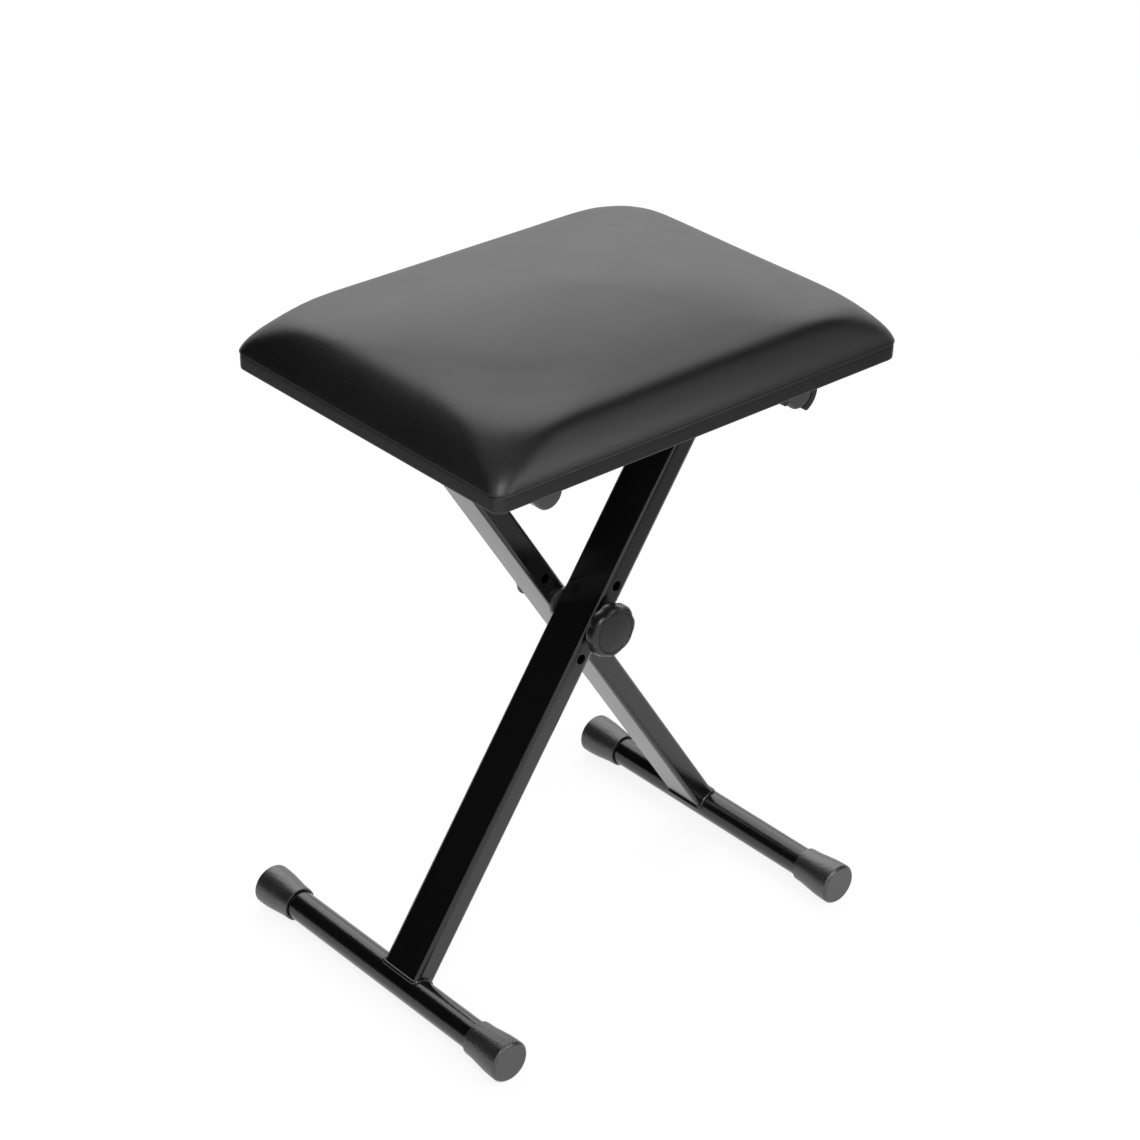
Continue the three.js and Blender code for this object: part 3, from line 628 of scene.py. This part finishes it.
def simulateCushion(piece, crownCount):
    scene = blender.scene
    pinned = piece.vertex_groups.new(name="pinned")
    pinned.add(list(range(crownCount, len(piece.data.vertices))), 1.0, "REPLACE")
    start = [v.co.copy() for v in piece.data.vertices]
    cloth = piece.modifiers.new("swell", "CLOTH")
    settings = cloth.settings
    settings.quality = cushion["quality"]
    settings.mass = cushion["mass"]
    settings.tension_stiffness = settings.compression_stiffness = cushion["stretch"]
    settings.shear_stiffness = cushion["shear"]
    settings.bending_stiffness = cushion["bending"]
    settings.use_pressure = True
    settings.uniform_pressure_force = cushion["pressure"]
    settings.effector_weights.gravity = 0
    settings.vertex_group_mass = "pinned"
    cloth.collision_settings.use_collision = False
    cloth.point_cache.frame_start = 1
    cloth.point_cache.frame_end = cushion["frames"]
    for number in range(1, cushion["frames"] + 1):
        scene.frame_set(number)
    shape = piece.evaluated_get(blender.evaluated_depsgraph_get()).to_mesh()
    moved = [v.co.copy() for v in shape.vertices]
    piece.modifiers.remove(cloth)
    scene.frame_set(1)
    steps = [after - before for before, after in zip(start, moved)]
    for vertex, before, step in zip(piece.data.vertices, start, evenSteps(piece.data, steps, crownCount)):
        if step.length > cushion["moveCap"]:
            step = step.normalized() * cushion["moveCap"]
        vertex.co = before + step
    farthest = max((v.co - before).length for v, before in zip(piece.data.vertices, start))
    scale = cushion["unevenPerMetre"]
    for vertex in piece.data.vertices[:crownCount]:
        place = (vertex.co.x * scale, vertex.co.y * scale, cushion["unevenLayer"])
        vertex.co.z += cushion["unevenness"] * noise.noise(place)
    middle = piece.data.vertices[crownCount // 2].co - start[crownCount // 2]
    print(f"cushion moved up to {farthest / mm:.2f} mm, {middle.z / mm:.2f} mm at its middle")


mesh, crownCount = cushionMesh()
mesh.materials.append(vinyl)
seatCushion = addPiece("seatCushion", mesh)
simulateCushion(seatCushion, crownCount)
smoothMesh(seatCushion.data)
rounded = seatCushion.modifiers.new("rounded", "SUBSURF")
rounded.levels = rounded.render_levels = 1
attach(seatCushion, "seat")
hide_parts("seat_cover", "seat_foam")
print("cushion made")

lining = {
    "overHem": 25 * mm,  # how far in it lies on the cover's hem
    "stepRun": 5 * mm,
    "thickness": 0.5 * mm,
    "cell": 4 * mm,
    "clearBelow": 0.02 * mm,
    "clearAbove": 0.05 * mm,
    "ripple": 0.2 * mm,
    "ripplesPerMetre": 30,
    "rippleLayer": 0.5,
}
liningLow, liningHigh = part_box("seat_lining")


def liningMesh():
    halfX, halfY = liningHigh.x, liningHigh.y
    countX, countY = round(2 * halfX / lining["cell"]), round(2 * halfY / lining["cell"])
    low = liningLow.z + lining["thickness"] / 2 + lining["clearBelow"]
    high = liningHigh.z - lining["thickness"] / 2 - lining["clearAbove"]
    scale = lining["ripplesPerMetre"]
    mesh = bmesh.new()
    grid = {}
    for i in range(countX + 1):
        for j in range(countY + 1):
            x, y = -halfX + 2 * halfX * i / countX, -halfY + 2 * halfY * j / countY
            fromEdge = min(coverHigh.x - abs(x), coverHigh.y - abs(y)) - lining["overHem"]
            share = min(1.0, max(0.0, fromEdge / lining["stepRun"]))
            share = share * share * (3 - 2 * share)
            ripple = noise.noise((x * scale, y * scale, lining["rippleLayer"])) * 0.5 + 0.5
            z = low + (high - low) * share - share * ripple * lining["ripple"]
            grid[i, j] = mesh.verts.new((x, y, z))
    for i in range(countX):
        for j in range(countY):
            mesh.faces.new((grid[i, j], grid[i, j + 1], grid[i + 1, j + 1], grid[i + 1, j]))
    made = bpy.data.meshes.new("seatLining")
    mesh.to_mesh(made)
    mesh.free()
    return made


mesh = liningMesh()
mesh.materials.append(liningCloth)
smoothMesh(mesh)
seatLining = addPiece("seatLining", mesh)
thick = seatLining.modifiers.new("thick", "SOLIDIFY")
thick.thickness = lining["thickness"]
thick.offset = 0
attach(seatLining, "seat")
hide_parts("seat_lining")
print("lining made")

welds = {
    "beadRadius": 2.1 * mm,
    "beadSides": 12,
    "beadStep": 0.6 * mm,
    "ripple": 0.16,
    "ripplesPerMetre": 520.0,
    "rippleTurn": 6.2832,  # radians in a ripple
    "unevenPerMetre": 160.0,
    "unevenness": 3.0,  # of the noise, beside a ripple of 1
    "seed": 3.0,
    "guideStep": 1.5 * mm,
    "cornerSteps": 4,
    "legDepth": 20 * mm,
    "legWidth": 40 * mm,
    "legCorner": 3 * mm,
    "barRadius": 12.5 * mm,
}


# A bead along the input's closed edges, swelling and thinning as it was laid
def makeBeadTree():
    number, finish = "NodeSocketFloat", "NodeSocketMaterial"
    tree, w, given, out = newTree("weldBead", [
        ("Bead radius", number, welds["beadRadius"]), ("Ripple", number, welds["ripple"]),
        ("Ripples per metre", number, welds["ripplesPerMetre"]), ("Seed", number, welds["seed"]),
        ("Finish", finish, None),
    ])
    line = w.add("GeometryNodeMeshToCurve", Mesh=given.outputs["Geometry"])
    fine = w.add("GeometryNodeResampleCurve", {"mode": "LENGTH"}, Curve=line.outputs[0])
    w.feed(fine, "Length", welds["beadStep"])
    along = w.add("GeometryNodeSplineParameter").outputs["Length"]
    turns = w.math("MULTIPLY", given.outputs["Ripples per metre"], welds["rippleTurn"])
    wave = w.math("SINE", w.math("MULTIPLY", along, turns))
    uneven = w.add("ShaderNodeTexNoise", {"noise_dimensions": "4D"}, Scale=welds["unevenPerMetre"])
    w.feed(uneven, "W", given.outputs["Seed"])
    chance = w.math("MULTIPLY", w.math("SUBTRACT", uneven.outputs[0], 0.5), welds["unevenness"])
    swell = w.math("ADD", wave, chance)
    radius = w.math("ADD", 1.0, w.math("MULTIPLY", swell, given.outputs["Ripple"]))
    sized = w.add("GeometryNodeSetCurveRadius", Curve=fine.outputs[0], Radius=radius)
    ring = w.add("GeometryNodeCurvePrimitiveCircle", Resolution=welds["beadSides"])
    w.feed(ring, "Radius", given.outputs["Bead radius"])
    bead = w.add("GeometryNodeCurveToMesh", Curve=sized.outputs[0])
    w.feed(bead, "Profile Curve", ring.outputs[0])
    closeTree(w, bead.outputs[0], given.outputs["Finish"], out)
    return tree


# The line where a leg's outline meets a round bar, for a leg that leaves the bar along lean
def saddleLine(bar, middleY, lean):
    across = Vector((lean.z, 0, -lean.x))
    halfDepth, halfWidth, corner = welds["legDepth"] / 2, welds["legWidth"] / 2, welds["legCorner"]
    outline = []
    for quarter, (signD, signW) in enumerate(((1, 1), (-1, 1), (-1, -1), (1, -1))):
        for step in range(welds["cornerSteps"] + 1):
            turn = math.pi / 2 * (quarter + step / welds["cornerSteps"])
            outline.append((
                signD * (halfDepth - corner) + corner * math.cos(turn),
                signW * (halfWidth - corner) + corner * math.sin(turn),
            ))
    full = []
    for before, after in zip(outline, outline[1:] + outline[:1]):
        pieces = max(1, round(math.dist(before, after) / welds["guideStep"]))
        for n in range(pieces):
            full.append([before[i] + (after[i] - before[i]) * n / pieces for i in (0, 1)])
    points = []
    for depth, width in full:
        out = math.sqrt(welds["barRadius"] ** 2 - depth ** 2)
        points.append(bar + across * depth + Vector((0, middleY + width, 0)) + lean * out)
    return points


def middleOf(name):
    low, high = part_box(name)
    return (low + high) / 2


def addWelds(name, body, foot, crossbar, leg):
    footMiddle, crossMiddle = middleOf(foot), middleOf(crossbar)
    lean = (crossMiddle - footMiddle).normalized()
    middleY = middleOf(leg).y
    points, edges = [], []
    for bar, way in ((footMiddle, lean), (crossMiddle, -lean)):
        line = saddleLine(bar, middleY, way)
        first = len(points)
        points += line
        edges += [(first + n, first + (n + 1) % len(line)) for n in range(len(line))]
    guide = bpy.data.meshes.new("weldGuide")
    guide.from_pydata(points, edges, [])
    carrier = addPiece("weldGuide", guide)
    useTree(
        carrier, beadTree, Bead_radius=welds["beadRadius"], Ripple=welds["ripple"],
        Ripples_per_metre=welds["ripplesPerMetre"], Seed=welds["seed"], Finish=powderCoat,
    )
    mesh = settledMesh(carrier, name)
    bpy.data.objects.remove(carrier)
    smoothMesh(mesh)
    piece = addPiece(name, mesh)
    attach(piece, body)


beadTree = makeBeadTree()
addWelds("frontWelds", "front_leg", "front_foot_bar", "front_crossbar", "front_leg_tube")
addWelds("rearWelds", "rear_leg", "rear_foot_bar", "rear_crossbar", "rear_leg_tube")
print("welds laid")

screw = {
    "count": 8,
    "sides": 24,
    "headRadius": 4 * mm,
    "headHeight": 2.4 * mm,
    # the head's outline from its top down, as shares of its radius and height
    "headShares": [
        (0.35, 0.02), (0.62, 0.1), (0.82, 0.26), (0.94, 0.48), (1.0, 0.78), (1.0, 0.94), (0.96, 1.0),
    ],
    "neckShare": 1.02,  # of the head's height, where the shank starts
    "recessDepth": 1.3 * mm,
    "recessLength": 4.2 * mm,
    "recessWidth": 0.9 * mm,
    "recessTaper": 0.55,
    "recessOver": 1 * mm,
    "shankRadius": 1.9 * mm,
    "threads": 8,
    "rootShare": 0.78,  # of the shank's radius
    "rootAt": 0.4,  # shares of a thread, where its root and its crest lie
    "crestAt": 0.7,
    "pointLength": 3 * mm,
    "pointShares": [(0.5, 1.2 * mm), (0.1, 0.1 * mm)],  # of the shank's radius, and how far from the tip
    "mostTurn": 1.57,
    "seed": 5,
}


# One pan-head screw, head down, with its cross recess cut
def screwMesh(length):
    rim, height, shank = screw["headRadius"], screw["headHeight"], screw["shankRadius"]
    rings = [(rim * r, height * z) for r, z in screw["headShares"]]
    rings += [(shank, height * screw["neckShare"])]
    thread = (length - height - screw["pointLength"]) / screw["threads"]
    for n in range(screw["threads"]):
        rings += [(shank * screw["rootShare"], height + thread * (n + screw["rootAt"]))]
        rings += [(shank, height + thread * (n + screw["crestAt"]))]
    rings += [(shank * share, length - back) for share, back in screw["pointShares"]]
    mesh = bmesh.new()
    count = screw["sides"]
    rows = []
    for radius, z in rings:
        turn = [2 * math.pi * n / count for n in range(count)]
        rows.append([mesh.verts.new((radius * math.cos(t), radius * math.sin(t), z)) for t in turn])
    for lower, upper in zip(rows, rows[1:]):
        for n in range(count):
            m = (n + 1) % count
            mesh.faces.new((lower[n], lower[m], upper[m], upper[n]))
    mesh.faces.new(list(reversed(rows[0])))
    mesh.faces.new(rows[-1])
    solid = bpy.data.meshes.new("screwBlank")
    mesh.to_mesh(solid)
    mesh.free()
    cutter = bmesh.new()
    for turned in (0, 1):
        long, wide, deep = screw["recessLength"] / 2, screw["recessWidth"] / 2, screw["recessDepth"]
        cube = bmesh.ops.create_cube(cutter, size=1.0)["verts"]
        for v in cube:
            taper = screw["recessTaper"] if v.co.z > 0 else 1.0
            x, y = math.copysign(long * taper, v.co.x), math.copysign(wide, v.co.y)
            z = deep if v.co.z > 0 else -screw["recessOver"]
            v.co = Vector((y, x, z)) if turned else Vector((x, y, z))
    bmesh.ops.recalc_face_normals(cutter, faces=cutter.faces)
    cross = bpy.data.meshes.new("crossCutter")
    cutter.to_mesh(cross)
    cutter.free()
    blank, tool = addPiece("screwBlank", solid), addPiece("crossCutter", cross)
    cut = blank.modifiers.new("recess", "BOOLEAN")
    cut.object = tool
    cut.solver = "EXACT"
    cut.use_self = True
    mesh = settledMesh(blank, "screw")
    bpy.data.objects.remove(blank)
    bpy.data.objects.remove(tool)
    return mesh


# Copies of a piece on the input's points, each turned by chance about Z
def makeSetTree():
    number, finish, thing = "NodeSocketFloat", "NodeSocketMaterial", "NodeSocketObject"
    tree, w, given, out = newTree("setOnPoints", [
        ("Piece", thing, None), ("Most turn", number, screw["mostTurn"]),
        ("Seed", "NodeSocketInt", screw["seed"]), ("Finish", finish, None),
    ])
    item = w.add("GeometryNodeObjectInfo", Object=given.outputs["Piece"])
    chance = w.add("FunctionNodeRandomValue", {"data_type": "FLOAT"}, Seed=given.outputs["Seed"])
    w.feed(chance, 3, given.outputs["Most turn"])
    turn = w.add("ShaderNodeCombineXYZ", Z=chance.outputs[1])
    placed = w.add("GeometryNodeInstanceOnPoints", Points=given.outputs["Geometry"])
    w.feed(placed, "Instance", item.outputs["Geometry"])
    w.feed(placed, "Rotation", turn.outputs[0])
    closeTree(w, placed.outputs[0], given.outputs["Finish"], out)
    return tree


def addScrews():
    names = [f"bracket_screw_{n}" for n in range(1, screw["count"] + 1)]
    low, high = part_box(names[0])
    single = addPiece("screw", screwMesh(high.z - low.z))
    points = bpy.data.meshes.new("screwPlaces")
    points.from_pydata([(middleOf(n).x, middleOf(n).y, low.z) for n in names], [], [])
    carrier = addPiece("screwPlaces", points)
    useTree(
        carrier, makeSetTree(), Piece=single, Most_turn=screw["mostTurn"], Seed=screw["seed"],
        Finish=zincSteel,
    )
    mesh = settledMesh(carrier, "bracketScrews")
    bpy.data.objects.remove(carrier)
    bpy.data.objects.remove(single)
    piece = addPiece("bracketScrews", mesh)
    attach(piece, "seat")
    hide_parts(*names)


addScrews()
print("screws set")

staples = {
    "spacing": 34 * mm,
    "inset": 6 * mm,
    "length": 10 * mm,
    "wire": 1.1 * mm,
    "height": 0.5 * mm,
    "edge": 0.16 * mm,  # rounded off
    "edgeSegments": 2,
    "drop": 0.3 * mm,  # from the lining's underside to the crown's top
    "slant": 0.08,
    "seed": 8,
}


# Copies of a piece along the input's closed edges, in line with them
def makeRowTree():
    number, finish, thing = "NodeSocketFloat", "NodeSocketMaterial", "NodeSocketObject"
    tree, w, given, out = newTree("setAlong", [
        ("Piece", thing, None), ("Spacing", number, staples["spacing"]), ("Slant", number, staples["slant"]),
        ("Seed", "NodeSocketInt", staples["seed"]), ("Finish", finish, None),
    ])
    line = w.add("GeometryNodeMeshToCurve", Mesh=given.outputs["Geometry"])
    spots = w.add("GeometryNodeCurveToPoints", {"mode": "LENGTH"}, Curve=line.outputs[0])
    w.feed(spots, "Length", given.outputs["Spacing"])
    item = w.add("GeometryNodeObjectInfo", Object=given.outputs["Piece"])
    tangent = w.add("ShaderNodeSeparateXYZ", Vector=spots.outputs["Tangent"])
    facing = w.math("ARCTAN2", tangent.outputs[1], tangent.outputs[0])
    chance = w.add("FunctionNodeRandomValue", {"data_type": "FLOAT"}, Seed=given.outputs["Seed"])
    w.feed(chance, 2, w.math("MULTIPLY", given.outputs["Slant"], -1.0))
    w.feed(chance, 3, given.outputs["Slant"])
    turn = w.add("ShaderNodeCombineXYZ", Z=w.math("ADD", facing, chance.outputs[1]))
    placed = w.add("GeometryNodeInstanceOnPoints", Points=spots.outputs["Points"])
    w.feed(placed, "Instance", item.outputs["Geometry"])
    w.feed(placed, "Rotation", turn.outputs[0])
    closeTree(w, placed.outputs[0], given.outputs["Finish"], out)
    return tree


def stapleMesh():
    mesh = bmesh.new()
    half, wide, high = staples["length"] / 2, staples["wire"] / 2, staples["height"]
    for v in bmesh.ops.create_cube(mesh, size=1.0)["verts"]:
        v.co = Vector((math.copysign(half, v.co.x), math.copysign(wide, v.co.y), high * (v.co.z + 0.5)))
    bmesh.ops.bevel(
        mesh, geom=mesh.edges[:], offset=staples["edge"], segments=staples["edgeSegments"],
        profile=0.5, affect="EDGES",
    )
    made = bpy.data.meshes.new("staple")
    mesh.to_mesh(made)
    mesh.free()
    return made


def addStaples():
    x, y = liningHigh.x - staples["inset"], liningHigh.y - staples["inset"]
    z = liningLow.z - staples["drop"]
    guide = bpy.data.meshes.new("stapleGuide")
    guide.from_pydata(rectangle(x, y, z), [(0, 1), (1, 2), (2, 3), (3, 0)], [])
    carrier = addPiece("stapleGuide", guide)
    single = addPiece("staple", stapleMesh())
    useTree(
        carrier, makeRowTree(), Piece=single, Spacing=staples["spacing"], Slant=staples["slant"],
        Seed=staples["seed"], Finish=zincSteel,
    )
    mesh = settledMesh(carrier, "liningStaples")
    bpy.data.objects.remove(carrier)
    bpy.data.objects.remove(single)
    piece = addPiece("liningStaples", mesh)
    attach(piece, "seat")


addStaples()
print("staples set")

camera = {
    "place": (-1.36945, -1.5056, 1.48289),
    "azimuth": math.radians(-42.42),
    "elevation": math.radians(29.75),
    "roll": math.radians(1.56),
    "lens": 94.32,
    "sensor": 36,
    "farthest": 30,
}


def addCamera():
    data = bpy.data.cameras.new("camera")
    data.lens = camera["lens"]
    data.sensor_width = camera["sensor"]
    data.clip_end = camera["farthest"]
    a, e, r = camera["azimuth"], camera["elevation"], camera["roll"]
    back = Vector((math.sin(a) * math.cos(e), -math.cos(a) * math.cos(e), math.sin(e)))
    right = Vector((math.cos(a), math.sin(a), 0))
    over = back.cross(right)
    turnedRight = right * math.cos(r) + over * math.sin(r)
    turnedOver = over * math.cos(r) - right * math.sin(r)
    place = Matrix((turnedRight, turnedOver, back)).transposed().to_4x4()
    place.translation = Vector(camera["place"])
    eye = bpy.data.objects.new("camera", data)
    eye.matrix_world = place
    blender.scene.collection.objects.link(eye)
    blender.scene.camera = eye


addCamera()
print("camera placed")

studio = {
    "floorSize": 14.0,
    "floorColour": grey(0.93),
    "shownShare": 0.86,  # how much of the plain white the camera sees
    "worldLevel": 0.75,
    "lampAim": (0, 0, 0.45),
    "cardAim": (0, 0, 0.4),
}


def seenByEye(w):
    rays = w.add("ShaderNodeLightPath").outputs
    straight = w.math("MAXIMUM", rays["Is Camera Ray"], rays["Is Glossy Ray"])
    return w.math("MAXIMUM", straight, rays["Is Transmission Ray"])


def addFloor():
    half = studio["floorSize"] / 2
    mesh = bpy.data.meshes.new("floor")
    mesh.from_pydata(rectangle(half, half), [], [(0, 1, 2, 3)])
    material, w, out = emptyMaterial("paleFloor")
    pale = w.add("ShaderNodeBsdfDiffuse", Color=studio["floorColour"])
    white = w.add("ShaderNodeEmission", Color=grey(1.0), Strength=1.0)
    both = w.add("ShaderNodeMixShader")
    w.feed(both, 0, w.math("MULTIPLY", seenByEye(w), studio["shownShare"]))
    w.feed(both, 1, pale.outputs[0])
    w.feed(both, 2, white.outputs[0])
    w.feed(out, "Surface", both.outputs[0])
    mesh.materials.append(material)
    floor = addPiece("floor", mesh)


def addWorld():
    world = bpy.data.worlds.new("paleRoom")
    blender.scene.world = world
    world.use_nodes = True
    world.node_tree.nodes.clear()
    w = Wiring(world.node_tree)
    out = w.add("ShaderNodeOutputWorld")
    level = grey(studio["worldLevel"])
    plain = w.add("ShaderNodeBackground", Color=w.mixed(seenByEye(w), level, grey(1.0)))
    w.feed(out, "Surface", plain.outputs[0])


# Where a lamp or a card stands: its direction and distance from the point that it faces
def panelPlace(azimuth, elevation, distance, aim):
    a, e = math.radians(azimuth), math.radians(elevation)
    away = Vector((math.cos(e) * math.cos(a), math.cos(e) * math.sin(a), math.sin(e)))
    place = away.to_track_quat("Z", "Y").to_matrix().to_4x4()
    place.translation = Vector(aim) + away * distance
    return place


lamps = {
    "backPanel": {"azimuth": 47, "elevation": 42, "distance": 2.5, "size": (3.4, 2.5), "level": 1.5},
    "frontFill": {"azimuth": -74, "elevation": 15, "distance": 0.9, "size": (0.36, 0.3), "level": 5.5},
    "eyePanel": {"azimuth": -128, "elevation": 38, "distance": 1.5, "size": (0.5, 0.5), "level": 15.0},
}
cards = {
    # each card is painted shade that only reflections show
    "leftCard": {"azimuth": 136, "elevation": 18, "distance": 1.35, "size": (2.4, 1.9), "shade": 0.003},
    "rightCard": {"azimuth": -30, "elevation": 42, "distance": 1.6, "size": (2.0, 1.2), "shade": 0.003},
    "lowCard": {"azimuth": -50, "elevation": -5, "distance": 1.15, "size": (1.9, 0.5), "shade": 0.003},
    "overheadCard": {"azimuth": -120, "elevation": 75, "distance": 1.7, "size": (2.4, 1.8), "shade": 0.003},
    # grey sheets just over the floor beside the bench: painted shade of the floor, seen only in reflections
    "rightGround": {"azimuth": 0, "elevation": -90, "distance": 0.395, "size": (1.2, 1.2), "shade": 0.4,
                    "aim": (0.8, -0.95, 0.4)},
    "leftGround": {"azimuth": 0, "elevation": -90, "distance": 0.395, "size": (1.2, 1.2), "shade": 0.4,
                   "aim": (-0.98, 0.8, 0.4)},
}


def addLamps():
    for name, lamp in lamps.items():
        data = bpy.data.lights.new(name, "AREA")
        data.shape = "RECTANGLE"
        data.size, data.size_y = lamp["size"]
        data.energy = lamp["level"] * math.pi * data.size * data.size_y
        panel = bpy.data.objects.new(name, data)
        place = panelPlace(lamp["azimuth"], lamp["elevation"], lamp["distance"], studio["lampAim"])
        panel.matrix_world = place
        panel.visible_camera = False
        blender.scene.collection.objects.link(panel)


# Cards that only reflections show, each at its own shade: painted shade in reflections, the black cards for a
# dark room round the bench and the two grey ground cards for the floor's shade beside it
def addCards():
    for name, card in cards.items():
        material, w, out = emptyMaterial(name)
        w.feed(out, "Surface", w.add("ShaderNodeEmission", Color=grey(card["shade"])).outputs[0])
        wide, high = card["size"][0] / 2, card["size"][1] / 2
        aim = card.get("aim", studio["cardAim"])
        place = panelPlace(card["azimuth"], card["elevation"], card["distance"], aim)
        corners = [place @ Vector(corner) for corner in rectangle(wide, high)]
        mesh = bpy.data.meshes.new(name)
        mesh.from_pydata(corners, [], [(0, 1, 2, 3)])
        mesh.materials.append(material)
        piece = addPiece(name, mesh)
        piece.visible_camera = piece.visible_diffuse = piece.visible_shadow = False


addFloor()
addWorld()
addLamps()
addCards()
blender.scene.view_settings.view_transform = "Standard"
print("studio made")

blender.view_layer.update()
